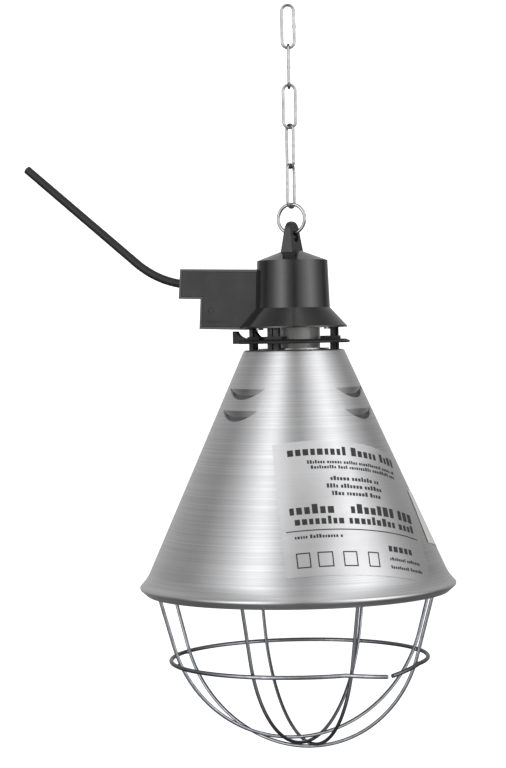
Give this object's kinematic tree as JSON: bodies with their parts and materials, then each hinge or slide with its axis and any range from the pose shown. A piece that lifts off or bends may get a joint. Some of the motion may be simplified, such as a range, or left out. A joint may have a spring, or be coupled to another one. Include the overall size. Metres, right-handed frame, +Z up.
{
  "type": "hanging heat lamp fixture",
  "caption": "Hanging heat lamp fixture: spun conical reflector with louvres, wire lamp guard, ceramic lampholder, plastic bell with cable box, ring and welded chain.",
  "frame": {"origin": "on the lamp axis, level with the reflector's flat top, inside the lampholder's screw shell", "axes": "+Z up along the lamp axis and the hanging chain; -X towards the cable box; -Y towards the box's cover"},
  "size_m": [0.3128, 0.21, 0.4951],
  "materials": {
    "reflector": "spun satin aluminium with fine turning lines",
    "heat_baffle": "black heat-resistant moulding",
    "legs": "dark strip with a pressed groove",
    "leg_screws": "zinc plated",
    "lampholder_body": "off-white steatite",
    "thread_shell": "plated brass",
    "centre_contact": "brass",
    "contact_spring": "spring steel",
    "live_terminal": "brass",
    "neutral_terminal": "brass",
    "terminal_screws": "zinc plated",
    "lampholder_screws": "zinc plated",
    "housing": "semi-gloss black moulding",
    "box_cover": "dark grey matte moulding",
    "cover_screws": "zinc plated",
    "hanger_lug": "dark moulding over a steel stud",
    "lug_washer": "zinc plated",
    "lug_nut": "zinc plated",
    "cable_clamp": "grey moulding",
    "clamp_screws": "zinc plated",
    "terminal_block": "ivory moulding",
    "block_inserts": "brass",
    "block_screws": "zinc plated",
    "live_lead": "brown insulation",
    "neutral_lead": "blue insulation",
    "cable_sheath": "black flexible sheath",
    "cable_core_live": "brown insulation",
    "cable_core_neutral": "blue insulation",
    "suspension_ring": "bright zinc plated",
    "chain_link": "bright zinc plated, welded",
    "guard_wire": "dulled zinc plated wire"
  },
  "bodies": {
    "link_1": {"chain_link_1": "chain_link"},
    "link_2": {"chain_link_2": "chain_link"},
    "link_3": {"chain_link_3": "chain_link"},
    "link_4": {"chain_link_4": "chain_link"},
    "link_5": {"chain_link_5": "chain_link"},
    "ring": {"suspension_ring": "suspension_ring"},
    "lamp": {"reflector": "reflector", "heat_baffle": "heat_baffle", "leg_right": "legs", "leg_rear": "legs", "leg_left": "legs", "leg_front": "legs", "leg_screws": "leg_screws", "lampholder_body": "lampholder_body", "thread_shell": "thread_shell", "contact_spring": "contact_spring", "live_terminal": "live_terminal", "neutral_terminal": "neutral_terminal", "terminal_screws": "terminal_screws", "lampholder_screws": "lampholder_screws", "housing": "housing", "box_cover": "box_cover", "cover_screws": "cover_screws", "hanger_lug": "hanger_lug", "lug_washer": "lug_washer", "lug_nut": "lug_nut", "cable_clamp": "cable_clamp", "clamp_screws": "clamp_screws", "terminal_block": "terminal_block", "block_inserts": "block_inserts", "block_screws": "block_screws", "live_lead": "live_lead", "neutral_lead": "neutral_lead", "cable_sheath": "cable_sheath", "cable_core_live": "cable_core_live", "cable_core_neutral": "cable_core_neutral"},
    "contact": {"centre_contact": "centre_contact"},
    "guard": {"guard_wire_1": "guard_wire", "guard_wire_2": "guard_wire", "guard_wire_3": "guard_wire", "guard_wire_4": "guard_wire", "guard_hoop": "guard_wire"}
  },
  "joints": [
    {"name": "link_2_swing", "type": "hinge", "parent": "link_1", "child": "link_2", "pos_m": [0, 0, 0.20077], "axis": [0.9063, 0.4226, 0], "range_deg": [-40, 40]},
    {"name": "link_3_swing", "type": "hinge", "parent": "link_2", "child": "link_3", "pos_m": [0, 0, 0.17422], "axis": [-0.4226, 0.9063, 0], "range_deg": [-40, 40]},
    {"name": "link_4_swing", "type": "hinge", "parent": "link_3", "child": "link_4", "pos_m": [0, 0, 0.14767], "axis": [0.9063, 0.4226, 0], "range_deg": [-40, 40]},
    {"name": "link_5_swing", "type": "hinge", "parent": "link_4", "child": "link_5", "pos_m": [0, 0, 0.12112], "axis": [0.848, -0.5299, 0], "range_deg": [-40, 40]},
    {"name": "ring_swing", "type": "hinge", "parent": "link_5", "child": "ring", "pos_m": [0, 0, 0.09457], "axis": [0.1564, 0.9877, 0], "range_deg": [-45, 45]},
    {"name": "lamp_tilt", "type": "hinge", "parent": "ring", "child": "lamp", "pos_m": [0, 0, 0.07727], "axis": [1, 0, 0], "range_deg": [-60, 60]},
    {"name": "contact_press", "type": "slide", "parent": "lamp", "child": "contact", "axis": [0, 0, 1], "range_m": [0, 0.0018], "stiffness_N_per_m": 1200, "springref_m": -0.001, "deforming": ["contact_spring"]},
    {"name": "guard_release", "type": "slide", "parent": "lamp", "child": "guard", "axis": [0, 0, -1], "range_m": [0, 0.12]}
  ]
}
